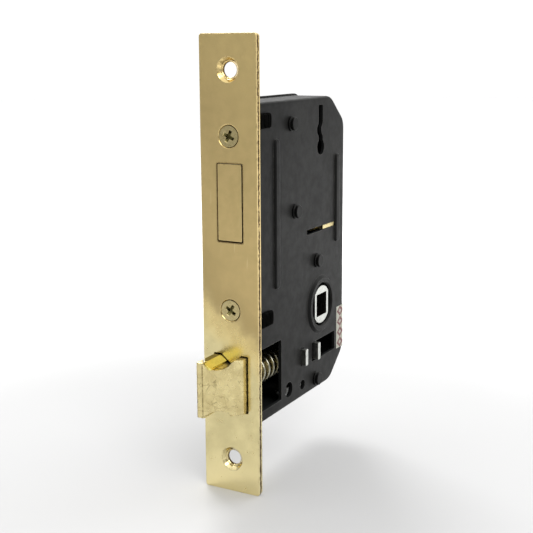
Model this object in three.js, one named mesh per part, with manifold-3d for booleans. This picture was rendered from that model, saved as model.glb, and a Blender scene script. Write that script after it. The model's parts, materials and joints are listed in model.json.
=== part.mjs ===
// Mortise lock for a timber door: brass forend, pressed steel case, sprung reversible latch with an
// anti-friction tongue, key-thrown deadbolt with three lever tumblers, and a spindle follower.
// Millimetres. X runs across the door's thickness, Y into the door from the forend's front face
// (Y = 0), and Z along the forend. The origin is the centre of the forend's front face.
import * as THREE from "three";
import { mergeVertices } from "three/addons/utils/BufferGeometryUtils.js";
import Module from "manifold-3d";

const wasm = await Module();
wasm.setup();

// ---- driving dimensions -------------------------------------------------------------------
const FACE = { width: 22, height: 160, plate: 1.2, forend: 1.5, corner: 1.2 };
const FIXING = { z: 68, through: 2.6, sink: 4.25 };
const PLATE_SCREW = { zs: [46, -14], head: 3.65, hole: 4.1, shank: 1.9, sunk: 0.15, length: 11 };
const RECESS = { reach: 2.25, width: 1.15, depth: 1.6, bottom: 0.9, turns: [25, 32] };
const CASE = { top: 57, bottom: -56, rear: 76, half: 8, sheet: 1.2, chamferY: 12, chamferZ: 10 };
const BACK = { thickness: 1.2, proud: 0.7, gap: 0.1 };
const CLEAR = 0.3;

const HUB = { y: 55, z: -23, barrel: 7.4, flat: 5.75, square: 8.6, reach: 8.5, flange: 10.5 };
const HUB_FLANGE_HALF = 3.5;
const HUB_ARM = { length: 17, halfWidth: 2.3, half: 2.5 };
const HUB_HOLE = 8.4;
const HUB_RING = { outer: 11.4, height: 1.0 };

const LATCH = { left: -6.6, right: 6.4, top: -30.1, bottom: -49.9, nose: -12, rear: 10, heel: -2.5 };
const LATCH_NOSE = 2.3;
const LATCH_AXIS_Z = (LATCH.top + LATCH.bottom) / 2;
const LATCH_OPENING = { half: 6.8, top: -29.7, bottom: -50.3 };
const GROOVE = { x: -0.2, rise: 0.8, ease: 1.2, shoulder: 0.7, foot: 1.7 };
const GROOVE_PLATE = { r: 3.35, slope: 2.7 };
const GROOVE_LATCH = { r: 3.75, slope: 3.1 };
const LOWER_GROOVE = { x: -0.5, drop: 1.8, r: 3.9 };
const STEM = { r: 3, rear: 47 };
const LATCH_SPRING = { x: 0, z: LATCH_AXIS_Z, coil: 4.8, wire: 0.52, turns: 9 };
const BRACKET = { front: 38.4, rear: 40.5, top: -30, bottom: -46.5, tabTop: -36.9, tabBottom: -43.3 };
const TAIL = { front: 47, tab: 49, block: 51.2, hook: 57.9, rear: 61.4, top: -37, bottom: -43.8 };
const TAB_REACH = 10;
const TONGUE = { left: -6.4, right: -1.4, bottom: -34.6, tip: -11.6, rear: -0.2 };
const TONGUE_HEEL = { right: -3, tip: -9.8, askew: 3, blunt: 1.8 };
const TONGUE_RIDGE = { x: -3.86, z: -30.05 };
const TONGUE_SLOPE = { end: -31.9, gap: 0.15, run: 5, drop: 3.6 };
const TONGUE_POCKET = 8.8;
const TONGUE_SPRING = { x: -4.5, z: -32.7, coil: 1.3, wire: 0.28, turns: 4 };
const LATCH_PIN = { x: 2.3, y: -4.4, r: 1.0, top: -33.6, bottom: -49.7 };

const BOLT = { left: -4.4, right: 4.9, top: 36.7, bottom: 10.4, rear: 27 };
const BOLT_OPENING = { left: -4.55, right: 5.3, top: 36.85, bottom: 10 };
const BOLT_TAIL = { x0: 2.4, x1: 4.8, front: 15.5, rear: 67, top: 30, bottom: 19.3, foot: 5 };
const RIVET = { y: 21, z: 24, r: 1.6 };
const STUMP = { y: 60, z: 22.5, r: 1.4 };
const GUIDE_SLOT = { z: 7, front: 43, rear: 67.2, half: 0.95, rib: 57 };
const KEY = { y: 54.7, z: 38.2, r: 3, top: 54, half: 1.8, kink: 1.3 };

const LEVER = { thickness: 1.2, gap: 0.3, first: -6.2, hole: 2.55, boss: 5, count: 3 };
const POSTS = [
  { name: "pillar_front_top", y: 30.5, z: 48.5 },
  { name: "lever_pivot_post", y: 33.5, z: 16.5 },
  { name: "hub_spring_post", y: 51.5, z: -5 },
  { name: "pillar_bottom", y: 51, z: -51.9 },
];
const POST = { shaft: 2.2, collar: 2.7, neck: 2.0, head: 2.5, hole: 2.35, rise: 1.9, backRise: 1.2 };
const BUSHES = [
  { name: "spacer_bush_large", y: 28.3, z: -49.8, outer: 2.75, inner: 2.2 },
  { name: "spacer_bush_small", y: 39.5, z: -51.2, outer: 1.75, inner: 1.25 },
];
const BUSH_HALF = 6.5;
const ANCHOR = { y: 42.6, z: -8.6, r: 1.2 };
const BEAD = { half: 1.9, rise: 0.85 };
const LUG = { front: 3, half: 2.6, ribs: 4, ribHalf: 0.65 };
const LABEL = { front: 69.8, bottom: -45, top: -27.6, wrapped: 1.5, bend: 0.95 };

// ---- materials ----------------------------------------------------------------------------
const finish = (color, roughness, metalness) =>
  new THREE.MeshStandardMaterial({ color, roughness, metalness });
const satinBrass = finish("#c9b27a", 0.38, 1);
const castBrass = finish("#cdbb84", 0.45, 1);
const polishedBrass = finish("#d9b62c", 0.15, 1);
const blackPaint = finish("#3f403e", 0.5, 0.2);
const zinc = finish("#c9ccc4", 0.35, 1);
const springSteel = finish("#b9b9a8", 0.3, 1);
const steel = finish("#8f9090", 0.4, 1);
const paper = finish("#c9c8b8", 0.9, 0);

// ---- solids and booleans ------------------------------------------------------------------
function solidOf(geometry) {
  const bare = geometry.index ? geometry.toNonIndexed() : geometry.clone();
  bare.deleteAttribute("normal");
  bare.deleteAttribute("uv");
  const merged = mergeVertices(bare, 1e-4);
  return new wasm.Manifold(
    new wasm.Mesh({
      numProp: 3,
      vertProperties: merged.attributes.position.array,
      triVerts: new Uint32Array(merged.index.array),
    }),
  );
}

function geometryOf(solid) {
  const mesh = solid.getMesh();
  const geometry = new THREE.BufferGeometry();
  geometry.setAttribute("position", new THREE.BufferAttribute(mesh.vertProperties, 3));
  geometry.setIndex(new THREE.BufferAttribute(mesh.triVerts, 1));
  geometry.computeVertexNormals();
  return geometry;
}

const union = (solids) => solids.reduce((sum, s) => sum.add(s));
const cutAll = (solid, tools) => tools.reduce((left, tool) => left.subtract(tool), solid);

// Local x, y, z become Y, Z, X: a shape drawn in (Y, Z) and extruded along X.
const TO_YZ = new THREE.Matrix4().makeBasis(
  new THREE.Vector3(0, 1, 0),
  new THREE.Vector3(0, 0, 1),
  new THREE.Vector3(1, 0, 0),
);
// Local x, y, z become X, Z, -Y: a shape drawn in (X, Z) and extruded towards -Y.
const TO_XZ = new THREE.Matrix4().makeBasis(
  new THREE.Vector3(1, 0, 0),
  new THREE.Vector3(0, 0, 1),
  new THREE.Vector3(0, -1, 0),
);
// Local x, y, z become Z, X, Y: a lathe whose axis is X.
const LATHE_X = new THREE.Matrix4().makeBasis(
  new THREE.Vector3(0, 0, 1),
  new THREE.Vector3(1, 0, 0),
  new THREE.Vector3(0, 1, 0),
);

// Full circles get twice as many sides as the segments given.
const extrude = (shape, depth, segments) =>
  new THREE.ExtrudeGeometry(shape, { depth, bevelEnabled: false, curveSegments: segments });

const plateYZ = (shape, x0, x1, segments = 12) =>
  solidOf(extrude(shape, x1 - x0, segments).applyMatrix4(TO_YZ).translate(x0, 0, 0));
const plateXZ = (shape, y0, y1, segments = 12) =>
  solidOf(extrude(shape, y1 - y0, segments).applyMatrix4(TO_XZ).translate(0, y1, 0));
const box = (x0, x1, y0, y1, z0, z1) =>
  solidOf(
    new THREE.BoxGeometry(x1 - x0, y1 - y0, z1 - z0).translate(
      (x0 + x1) / 2,
      (y0 + y1) / 2,
      (z0 + z1) / 2,
    ),
  );

function disc(u, v, r) {
  const shape = new THREE.Shape();
  shape.absarc(u, v, r, 0, 2 * Math.PI, false);
  return shape;
}
const rodX = (y, z, r, x0, x1, sides = 28) => plateYZ(disc(y, z, r), x0, x1, sides / 2);
const rodY = (x, z, r, y0, y1, sides = 28) => plateXZ(disc(x, z, r), y0, y1, sides / 2);

function turnedX(profile, y, z, segments = 24) {
  const points = profile.map(([r, x]) => new THREE.Vector2(r, x));
  const geometry = new THREE.LatheGeometry(points, segments).applyMatrix4(LATHE_X);
  return solidOf(geometry.translate(0, y, z));
}
function turnedY(profile, x, z, segments = 32) {
  const points = profile.map(([r, y]) => new THREE.Vector2(r, y));
  return solidOf(new THREE.LatheGeometry(points, segments).translate(x, 0, z));
}

// A closed outline through the points, each corner rounded by its radius.
function rounded(points) {
  const shape = new THREE.Shape();
  points.forEach(([u, v, r = 0], i) => {
    const [pu, pv] = points[(i + points.length - 1) % points.length];
    const [nu, nv] = points[(i + 1) % points.length];
    const before = Math.hypot(pu - u, pv - v);
    const after = Math.hypot(nu - u, nv - v);
    const a = [u + ((pu - u) * r) / before, v + ((pv - v) * r) / before];
    const b = [u + ((nu - u) * r) / after, v + ((nv - v) * r) / after];
    if (i === 0) shape.moveTo(a[0], a[1]);
    else shape.lineTo(a[0], a[1]);
    if (r > 0) shape.quadraticCurveTo(u, v, b[0], b[1]);
  });
  return shape;
}
const rectangle = (u0, u1, v0, v1, r = 0) =>
  rounded([
    [u0, v0, r],
    [u1, v0, r],
    [u1, v1, r],
    [u0, v1, r],
  ]);

function named(name, solid, material) {
  const mesh = new THREE.Mesh(geometryOf(solid), material);
  mesh.name = name;
  return mesh;
}

// ---- forend -------------------------------------------------------------------------------
const PLATE_BACK = FACE.plate;
const FOREND_BACK = FACE.plate + FACE.forend;

// The round tongue on the opening's upper edge, which fits the latch's groove.
const grooveCentreZ = LATCH.top + GROOVE.rise;

// The groove's section run along Y: round, with its +X side eased out to a slope.
function grooveRun({ r, slope }, y0, y1) {
  const { x, ease, shoulder, foot } = GROOVE;
  const z = grooveCentreZ;
  const eased = rounded([
    [x, z + 1],
    [slope + ease, z + 1],
    [slope + ease, z - shoulder],
    [slope, z - foot],
    [x, z - foot],
  ]);
  return rodY(x, z, r, y0, y1, 48).add(plateXZ(eased, y0, y1, 1));
}

// The latch's opening: a rectangle less the projection that fits the groove, with room for the tongue.
function latchOpening(y0, y1) {
  const { half, top, bottom } = LATCH_OPENING;
  const { x, z } = TONGUE_RIDGE;
  const { gap, run, drop } = TONGUE_SLOPE;
  const hole = plateXZ(rectangle(-half, half, bottom, top, 0.5), y0, y1);
  const room = rounded([
    [-half, z + gap],
    [x + gap, z + gap],
    [x + run, z - drop],
    [-half, z - drop],
  ]);
  const projection = grooveRun(GROOVE_PLATE, y0 - 1, y1 + 1);
  return hole.subtract(projection.subtract(plateXZ(room, y0 - 1, y1 + 1, 1)));
}
const boltOpening = (y0, y1) =>
  plateXZ(
    rectangle(BOLT_OPENING.left, BOLT_OPENING.right, BOLT_OPENING.bottom, BOLT_OPENING.top, 0.4),
    y0,
    y1,
  );

// A countersink that starts with radius r at the front face and narrows at 45 degrees.
const countersink = (z, r, through) =>
  turnedY(
    [
      [0, -1],
      [r + 1, -1],
      [through, r - through],
      [through, 5],
      [0, 5],
    ],
    0,
    z,
    36,
  );

function fixingHoles() {
  return [FIXING.z, -FIXING.z].map((z) => countersink(z, FIXING.sink, FIXING.through));
}

function faceplate() {
  const half = FACE.width / 2;
  const tall = FACE.height / 2;
  const sheet = plateXZ(rectangle(-half, half, -tall, tall, FACE.corner), 0, PLATE_BACK, 8);
  const screws = PLATE_SCREW.zs.map((z) => countersink(z, PLATE_SCREW.hole, PLATE_SCREW.shank));
  const openings = [latchOpening(-1, 3), boltOpening(-1, 3)];
  return cutAll(sheet, [...fixingHoles(), ...screws, ...openings]);
}

function forend() {
  const half = FACE.width / 2 - 0.15;
  const tall = FACE.height / 2 - 0.15;
  const shape = rectangle(-half, half, -tall, tall, FACE.corner);
  const sheet = plateXZ(shape, PLATE_BACK, FOREND_BACK, 8);
  const screws = PLATE_SCREW.zs.map((z) =>
    countersink(z, PLATE_SCREW.hole, PLATE_SCREW.shank + 0.15),
  );
  const openings = [latchOpening(0, 4), boltOpening(0, 4)];
  return cutAll(sheet, [...fixingHoles(), ...screws, ...openings]);
}

// One arm pair of the cross recess, wide at the head's face and narrow at its foot.
function recessArm(z, degrees) {
  const { reach, width, depth, bottom } = RECESS;
  const { sunk } = PLATE_SCREW;
  const section = rounded([
    [-reach - 0.1, sunk - 0.1],
    [reach + 0.1, sunk - 0.1],
    [bottom, sunk + depth],
    [-bottom, sunk + depth],
  ]);
  const arm = extrude(section, width, 1).translate(0, 0, -width / 2);
  return solidOf(arm.rotateY(THREE.MathUtils.degToRad(degrees)).translate(0, 0, z));
}

function plateScrew(z, turn) {
  const { head, shank, sunk, length } = PLATE_SCREW;
  const rim = 0.1;
  const body = turnedY(
    [
      [0, sunk],
      [head, sunk],
      [head, sunk + rim],
      [shank, sunk + rim + head - shank],
      [shank, length - 1],
      [shank - 0.8, length],
      [0, length],
    ],
    0,
    z,
    36,
  );
  return cutAll(body, [recessArm(z, turn), recessArm(z, turn + 90)]);
}

// ---- case ---------------------------------------------------------------------------------
// The case's side outline in (Y, Z), moved in by inset, from a front edge at front.
function caseOutline(inset, front, radius) {
  const { top, bottom, rear, chamferY, chamferZ } = CASE;
  const slant = Math.hypot(chamferY, chamferZ);
  const dy = (inset * (slant - chamferY)) / chamferZ;
  const dz = (inset * (slant - chamferZ)) / chamferY;
  return rounded([
    [front, bottom + inset],
    [rear - chamferY - dy, bottom + inset, radius],
    [rear - inset, bottom + chamferZ + dz, radius],
    [rear - inset, top - chamferZ - dz, radius],
    [rear - chamferY - dy, top - inset, radius],
    [front, top - inset],
  ]);
}

// A keyhole with a round bow, a kinked throat and a straight slot for the key's bit.
function keyhole(x0, x1) {
  const { y, z, r, top, half, kink } = KEY;
  const throat = rounded([
    [y - half, z + 1],
    [y + half, z + 1],
    [y + half, z + 4, 0.6],
    [y + half - kink, z + 5.5, 0.6],
    [y + half - kink, z + 7.5, 0.6],
    [y + half, z + 9, 0.6],
    [y + half, top, 0.5],
    [y - half, top, 0.5],
    [y - half, z + 9, 0.6],
    [y - half - kink, z + 7.5, 0.6],
    [y - half - kink, z + 5.5, 0.6],
    [y - half, z + 4, 0.6],
  ]);
  return plateYZ(throat, x0, x1, 4).add(rodX(y, z, r, x0, x1, 32));
}

// A rounded rib pressed out of the side face.
function bead(y, z0, z1) {
  const { half, rise } = BEAD;
  const geometry = new THREE.ExtrudeGeometry(rectangle(y - half, y + half, z0, z1, half - 0.2), {
    depth: 0.4,
    bevelEnabled: true,
    bevelThickness: rise,
    bevelSize: rise,
    bevelOffset: -rise,
    bevelSegments: 3,
    curveSegments: 5,
  });
  return solidOf(geometry.applyMatrix4(TO_YZ).translate(CASE.half - 0.4, 0, 0));
}

function hubRing() {
  const { outer, height } = HUB_RING;
  const x = CASE.half;
  return turnedX(
    [
      [HUB_HOLE, x - 0.5],
      [outer, x - 0.5],
      [outer, x],
      [outer - 1.1, x + height],
      [HUB_HOLE + 0.5, x + height],
      [HUB_HOLE, x + height - 0.5],
      [HUB_HOLE, x - 0.5],
    ],
    HUB.y,
    HUB.z,
    56,
  );
}

function postHoles(x0, x1) {
  return POSTS.map((p) => rodX(p.y, p.z, POST.hole, x0, x1, 24));
}

const WINDOWS = {
  latch: rectangle(5.5, 22.4, -51.8, -29, 0.6),
  tail: rectangle(47.6, 68, -44.4, -36.8, 0.4),
  bracket: rectangle(BRACKET.front - 0.2, BRACKET.rear + 0.2, -43.6, -36.6, 0.3),
  guide: rectangle(
    GUIDE_SLOT.front,
    GUIDE_SLOT.rear,
    GUIDE_SLOT.z - GUIDE_SLOT.half,
    GUIDE_SLOT.z + GUIDE_SLOT.half,
    0.3,
  ),
};

function caseShell() {
  const { half, sheet } = CASE;
  const bend = 1.1;
  const rim = -half + BACK.thickness + BACK.gap;
  const pressed = new THREE.ExtrudeGeometry(caseOutline(0, FOREND_BACK, 3), {
    depth: half,
    bevelEnabled: true,
    bevelThickness: bend,
    bevelSize: bend,
    bevelOffset: -bend,
    bevelSegments: 3,
    curveSegments: 5,
  });
  const face = solidOf(pressed.applyMatrix4(TO_YZ).translate(-bend, 0, 0));
  const skirt = plateYZ(caseOutline(0, FOREND_BACK, 3), rim, half / 2, 5);
  const square = plateYZ(caseOutline(0, FOREND_BACK, 3), rim, half, 5);
  const front = box(rim, half, FOREND_BACK, FOREND_BACK + 2, CASE.bottom + 2, CASE.top - 2);
  const outer = union([face, skirt, front]).intersect(square);
  const hollow = plateYZ(caseOutline(sheet, FOREND_BACK - 3, 2), rim - 3, half - sheet, 5);
  const shell = union([outer.subtract(hollow), bead(19, -9.5, 44), bead(69, -0.5, 34.5), hubRing()]);
  const bushHoles = BUSHES.map((b) => rodX(b.y, b.z, b.outer + 0.15, 5, 9, 28));
  const windows = Object.values(WINDOWS).map((shape) => plateYZ(shape, 5, 10, 4));
  const hub = rodX(HUB.y, HUB.z, HUB_HOLE, 5, 10, 56);
  return cutAll(shell, [keyhole(5, 10), hub, ...windows, ...bushHoles, ...postHoles(5, 10)]);
}

function backPlate() {
  const { half } = CASE;
  const plate = plateYZ(caseOutline(-BACK.proud, FOREND_BACK, 3), -half, -half + BACK.thickness, 5);
  const hub = rodX(HUB.y, HUB.z, HUB_HOLE, -10, -5, 56);
  return cutAll(plate, [keyhole(-10, -5), hub, ...postHoles(-10, -5)]);
}

function post(place) {
  const { shaft, collar, neck, head, rise, backRise } = POST;
  const { half } = CASE;
  const soft = 0.3;
  return turnedX(
    [
      [0, -half - backRise],
      [head - soft, -half - backRise],
      [head, -half - backRise + soft],
      [head, -half],
      [shaft, -half],
      [shaft, half],
      [collar, half],
      [collar, half + 0.6],
      [neck, half + 0.75],
      [neck, half + 0.95],
      [head, half + 1.1],
      [head, half + rise - soft],
      [head - soft, half + rise],
      [0, half + rise],
    ],
    place.y,
    place.z,
  );
}

// A ribbed lug staked over the case's front edge.
function fixingLug(z, reach) {
  const x = CASE.half;
  const { front, half, ribs, ribHalf } = LUG;
  const pad = plateYZ(rectangle(front, reach, z - half, z + half, 1.8), x, x + 0.7, 5);
  const firstRib = front + 1.6;
  const lastRib = reach - 2;
  const solids = Array.from({ length: ribs }, (_, i) => {
    const y = firstRib + ((lastRib - firstRib) * i) / (ribs - 1);
    const rib = rectangle(y - ribHalf, y + ribHalf, z - half + 0.3, z + half - 0.3, 0.5);
    return plateYZ(rib, x + 0.4, x + 1.3, 3);
  });
  return union([pad, ...solids]);
}

const spacerBush = ({ y, z, outer, inner }) =>
  turnedX(
    [
      [inner, -BUSH_HALF],
      [outer, -BUSH_HALF],
      [outer, BUSH_HALF],
      [inner, BUSH_HALF],
      [inner, -BUSH_HALF],
    ],
    y,
    z,
    28,
  );

// The bracket that guides the latch's stem and seats its spring, with a tab through the case.
function latchBracket() {
  const { front, rear, top, bottom, tabTop, tabBottom } = BRACKET;
  const inner = CASE.half - CASE.sheet - CLEAR;
  const wall = box(-inner, inner, front, rear, bottom, top);
  const tab = plateYZ(rectangle(front, rear, tabBottom, tabTop, 0.6), inner - 1, TAB_REACH, 4);
  return wall.add(tab).subtract(rodY(0, LATCH_AXIS_Z, STEM.r + CLEAR, front - 1, rear + 1));
}

// The blank sticker, wrapped round the case's rear edge.
function label() {
  const x = CASE.half;
  const paperThickness = 0.2;
  const y = CASE.rear;
  const { front, bottom, top, wrapped, bend } = LABEL;
  // Drawn in (X, Y) and run along Z: the strip on the side face, its bend, and the strip behind.
  const strip = new THREE.Shape();
  strip.moveTo(x + paperThickness, front);
  strip.absarc(x - bend, y - bend, bend + paperThickness, 0, Math.PI / 2, false);
  strip.lineTo(wrapped, y + paperThickness);
  strip.lineTo(wrapped, y);
  strip.absarc(x - bend, y - bend, bend, Math.PI / 2, 0, true);
  strip.lineTo(x, front);
  return solidOf(extrude(strip, top - bottom, 5).translate(0, 0, bottom));
}

// ---- latch --------------------------------------------------------------------------------
// The plan in (X, Y) of the tongue's heel, grown by gap and run back to rear, with its end cut askew.
function heelPlan(gap, rear) {
  const { right, tip, askew, blunt } = TONGUE_HEEL;
  const left = TONGUE.left - gap;
  return rounded([
    [left, tip + askew - gap],
    [left + blunt, tip - gap],
    [right + gap, tip - gap],
    [right + gap, rear],
    [left, rear],
  ]);
}
const heelRun = (gap, rear, z0, z1) =>
  solidOf(extrude(heelPlan(gap, rear), z1 - z0, 1).translate(0, 0, z0));

function latchBolt() {
  const { left, right, top, bottom, nose, rear, heel } = LATCH;
  const plan = rounded([
    [left, nose, 0.4],
    [left + LATCH_NOSE, nose, 0.4],
    [right, heel, 0.3],
    [right, rear],
    [left, rear],
  ]);
  const block = solidOf(extrude(plan, top - bottom, 3).translate(0, 0, bottom));
  const upper = grooveRun(GROOVE_LATCH, nose - 1, rear + 1);
  const lowerZ = bottom - LOWER_GROOVE.drop;
  const lower = rodY(LOWER_GROOVE.x, lowerZ, LOWER_GROOVE.r, nose - 1, rear + 1, 40);
  const pocket = heelRun(CLEAR, TONGUE_POCKET, TONGUE.bottom - CLEAR, top + 1);
  const pin = LATCH_PIN;
  const pinHole = solidOf(
    new THREE.CylinderGeometry(pin.r + 0.05, pin.r + 0.05, 30, 20)
      .rotateX(Math.PI / 2)
      .translate(pin.x, pin.y, LATCH_AXIS_Z),
  );
  return cutAll(block, [upper, lower, pocket, pinHole]);
}

function latchPin() {
  const { x, y, r, top, bottom } = LATCH_PIN;
  const dome = 0.5;
  const profile = [
    [0, bottom],
    [r - dome, bottom],
    [r - 0.15, bottom + 0.15],
    [r, bottom + dome],
    [r, top],
    [0, top],
  ];
  const points = profile.map(([radius, z]) => new THREE.Vector2(radius, z));
  const lathe = new THREE.LatheGeometry(points, 20).rotateX(Math.PI / 2);
  return solidOf(lathe.translate(x, y, 0));
}

const latchStem = () => rodY(0, LATCH_AXIS_Z, STEM.r, LATCH.rear, STEM.rear, 32);

// The tail: a cross block on the stem with a tab through the case, and a hook behind the arm.
function latchTail() {
  const side = -6.2;
  const { front, tab, block, hook, rear, top, bottom } = TAIL;
  const cross = box(side, 6.2, front, block, bottom, top);
  const tabPiece = plateYZ(rectangle(tab, block, bottom, top, 0.6), 5, TAB_REACH, 4);
  const bar = box(side, side + 2.3, front, rear, bottom, top);
  const catchBlock = box(side, 3, hook, rear, bottom, -34);
  return union([cross, tabPiece, bar, catchBlock]);
}

// A coil spring along Y: one tube of round wire, with the wire's ends cut square.
function coilSpring({ x, z, coil, wire, turns, y0, y1, steps = 12, sides = 6 }) {
  const pitch = (y1 - y0 - 2 * wire) / turns;
  const points = [];
  for (let i = 0; i <= turns * steps; i++) {
    const angle = (i * 2 * Math.PI) / steps;
    const y = y0 + wire + (i / steps) * pitch;
    points.push(new THREE.Vector3(x + coil * Math.cos(angle), y, z + coil * Math.sin(angle)));
  }
  const path = new THREE.CatmullRomCurve3(points);
  const section = new THREE.Shape();
  section.absarc(0, 0, wire, 0, 2 * Math.PI, false);
  return solidOf(
    new THREE.ExtrudeGeometry(section, {
      steps: turns * steps,
      extrudePath: path,
      curveSegments: sides / 2,
      bevelEnabled: false,
    }),
  );
}

const latchSpring = () =>
  coilSpring({
    ...LATCH_SPRING,
    y0: LATCH.rear + 0.05,
    y1: BRACKET.front - 0.05,
  });

// The polished tongue: a heel in the latch's pocket, and a lip that lies in the groove and leads it.
function antiFrictionTongue() {
  const { left, right, bottom, tip, rear } = TONGUE;
  const ridge = TONGUE_RIDGE;
  const section = rounded([
    [left, bottom],
    [right, bottom],
    [right, TONGUE_SLOPE.end],
    [ridge.x, ridge.z],
    [left, ridge.z],
  ]);
  const bar = plateXZ(section, tip, rear, 1);
  const lipPlan = rounded([
    [left, tip],
    [right - 0.6, tip],
    [right, tip + 0.6],
    [right, rear],
    [left, rear],
  ]);
  const lipEnd = solidOf(extrude(lipPlan, ridge.z + 1 - bottom, 1).translate(0, 0, bottom));
  const lipRod = rodY(GROOVE.x, grooveCentreZ, GROOVE_LATCH.r - 0.15, tip, rear, 48);
  const lip = lipRod.intersect(lipEnd);
  return bar.intersect(lip.add(heelRun(0, rear, bottom, ridge.z + 1)));
}

const tongueSpring = () =>
  coilSpring({
    ...TONGUE_SPRING,
    y0: TONGUE.rear + 0.05,
    y1: TONGUE_POCKET - 0.05,
    steps: 8,
    sides: 4,
  });

// ---- deadbolt -----------------------------------------------------------------------------
function deadbolt() {
  const { left, right, top, bottom, rear } = BOLT;
  const block = plateXZ(rectangle(left, right, bottom, top, 0.35), 0, rear, 3);
  const seat = box(BOLT_TAIL.x0 - 0.05, right + 1, BOLT_TAIL.front - 0.1, rear + 1, 18.9, 30.4);
  const rivetHole = rodX(RIVET.y, RIVET.z, RIVET.r + 0.05, left - 1, right + 1, 20);
  return cutAll(block, [seat, rivetHole]);
}

const deadboltRivet = () => rodX(RIVET.y, RIVET.z, RIVET.r, BOLT.left + 0.1, BOLT_TAIL.x1, 20);

// The tail plate: key talon above, a foot below, and the rib that runs in the case's guide slot.
function deadboltTail() {
  const { x0, x1, front, rear, top, bottom, foot } = BOLT_TAIL;
  const talon = 24.3;
  const outline = rounded([
    [front, bottom],
    [53, bottom, 1.5],
    [55.5, foot, 1.5],
    [rear, foot, 0.8],
    [rear, top, 1.5],
    [KEY.y + 5, top, 0.5],
    [KEY.y + 4.2, talon, 1.5],
    [KEY.y - 4.2, talon, 1.5],
    [KEY.y - 5, top, 0.5],
    [front, top],
  ]);
  const rib = plateYZ(
    rectangle(GUIDE_SLOT.rib, rear, GUIDE_SLOT.z - 0.75, GUIDE_SLOT.z + 0.75, 0.2),
    x1 - 1,
    CASE.half - 0.1,
    3,
  );
  const rivetHole = rodX(RIVET.y, RIVET.z, RIVET.r + 0.05, x0 - 1, x1 + 1, 20);
  return plateYZ(outline, x0, x1, 4).add(rib).subtract(rivetHole);
}

const deadboltStump = () =>
  rodX(STUMP.y, STUMP.z, STUMP.r, LEVER.first - 0.2, BOLT_TAIL.x0, 20);

// ---- lever tumblers -----------------------------------------------------------------------
const leverX = (i) => LEVER.first + i * (LEVER.thickness + LEVER.gap);

// One lever: a boss round the pivot post, and a blade with an H-shaped gate for the stump.
function lever(i) {
  const pivot = POSTS[1];
  const x0 = leverX(i);
  const x1 = x0 + LEVER.thickness;
  const belly = 29.8 - 0.4 * i;
  const blade = rounded([
    [pivot.y, pivot.z - 4, 1],
    [66, 17.5, 2.5],
    [66, belly + 1, 2],
    [58, belly, 2],
    [50, belly, 2],
    [42, belly - 0.8, 2],
    [pivot.y, pivot.z + 5, 1],
  ]);
  const gate = union([
    plateYZ(rectangle(45, 60, STUMP.z - 1.75, STUMP.z + 1.75), x0 - 1, x1 + 1),
    plateYZ(rectangle(43.6, 48.4, 20.6, 26.2, 0.6), x0 - 1, x1 + 1, 3),
    plateYZ(rectangle(57, 61.9, 20.6, 28.2 - 0.2 * i, 0.6), x0 - 1, x1 + 1, 3),
  ]);
  const boss = rodX(pivot.y, pivot.z, LEVER.boss, x0, x1, 28);
  const hole = rodX(pivot.y, pivot.z, LEVER.hole, x0 - 1, x1 + 1, 24);
  return plateYZ(blade, x0, x1, 4).add(boss).subtract(gate).subtract(hole);
}

// A bowed leaf spring between the front pillar and the lever's front shoulder, which it pushes down.
function leverSpring(i) {
  const x0 = leverX(i) + 0.2;
  const half = 0.2;
  const foot = { y: 30.3, z: 20.6 };
  const bow = { y: 35.5, z: 33 };
  const tip = { y: 31.2, z: 45.9 };
  const shape = rounded([
    [foot.y - half, foot.z],
    [foot.y + half, foot.z],
    [bow.y + half, bow.z, 9],
    [tip.y + half, tip.z],
    [tip.y - half, tip.z],
    [bow.y - half, bow.z, 9],
  ]);
  return plateYZ(shape, x0, x0 + LEVER.thickness - 0.4, 8);
}

// ---- follower -----------------------------------------------------------------------------
function followerHub() {
  const { y, z, barrel, flat, square, reach, flange } = HUB;
  const flats = box(-reach, reach, y - flat, y + flat, z - barrel - 1, z + barrel + 1);
  const core = rodX(y, z, barrel, -reach, reach, 48).intersect(flats);
  const disk = rodX(y, z, flange, -HUB_FLANGE_HALF, HUB_FLANGE_HALF, 48);
  const arm = plateYZ(
    rectangle(y - HUB_ARM.halfWidth, y + HUB_ARM.halfWidth, z - HUB_ARM.length, z, 0.8),
    -HUB_ARM.half,
    HUB_ARM.half,
    4,
  );
  const ear = plateYZ(rectangle(y + 6, y + 13.2, z + 2.6, z + 6.2, 0.8), -2.5, 2.5, 4);
  const hole = plateYZ(
    rectangle(y - square / 2, y + square / 2, z - square / 2, z + square / 2, 0.3),
    -reach - 1,
    reach + 1,
    2,
  );
  return union([core, disk, arm, ear]).subtract(hole);
}

const springAnchor = () =>
  rodX(ANCHOR.y, ANCHOR.z, ANCHOR.r, -CASE.half + BACK.thickness, 3, 20);

// The follower's torsion spring: a ring of wire round its post and two legs.
function hubSpring() {
  const p = POSTS[2];
  const x0 = -1.6;
  const x1 = 1.6;
  const ring = rodX(p.y, p.z, 4.1, x0, x1, 32);
  const rearLeg = rounded([
    [p.y, p.z - 4.1],
    [p.y, p.z - 3.1],
    [HUB.y + 12.6, HUB.z + 7.6],
    [HUB.y + 12.2, HUB.z + 6.6],
  ]);
  const frontLeg = rounded([
    [p.y, p.z - 4.1],
    [ANCHOR.y - 1.4, ANCHOR.z + 1.6],
    [ANCHOR.y - 1.6, ANCHOR.z + 2.6],
    [p.y, p.z - 3.1],
  ]);
  const legs = [plateYZ(rearLeg, -0.5, 0.5), plateYZ(frontLeg, -0.5, 0.5)];
  return union([ring, ...legs]).subtract(rodX(p.y, p.z, 3, x0 - 1, x1 + 1, 32));
}

// ---- assembly -----------------------------------------------------------------------------
const lock = new THREE.Group();

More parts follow.
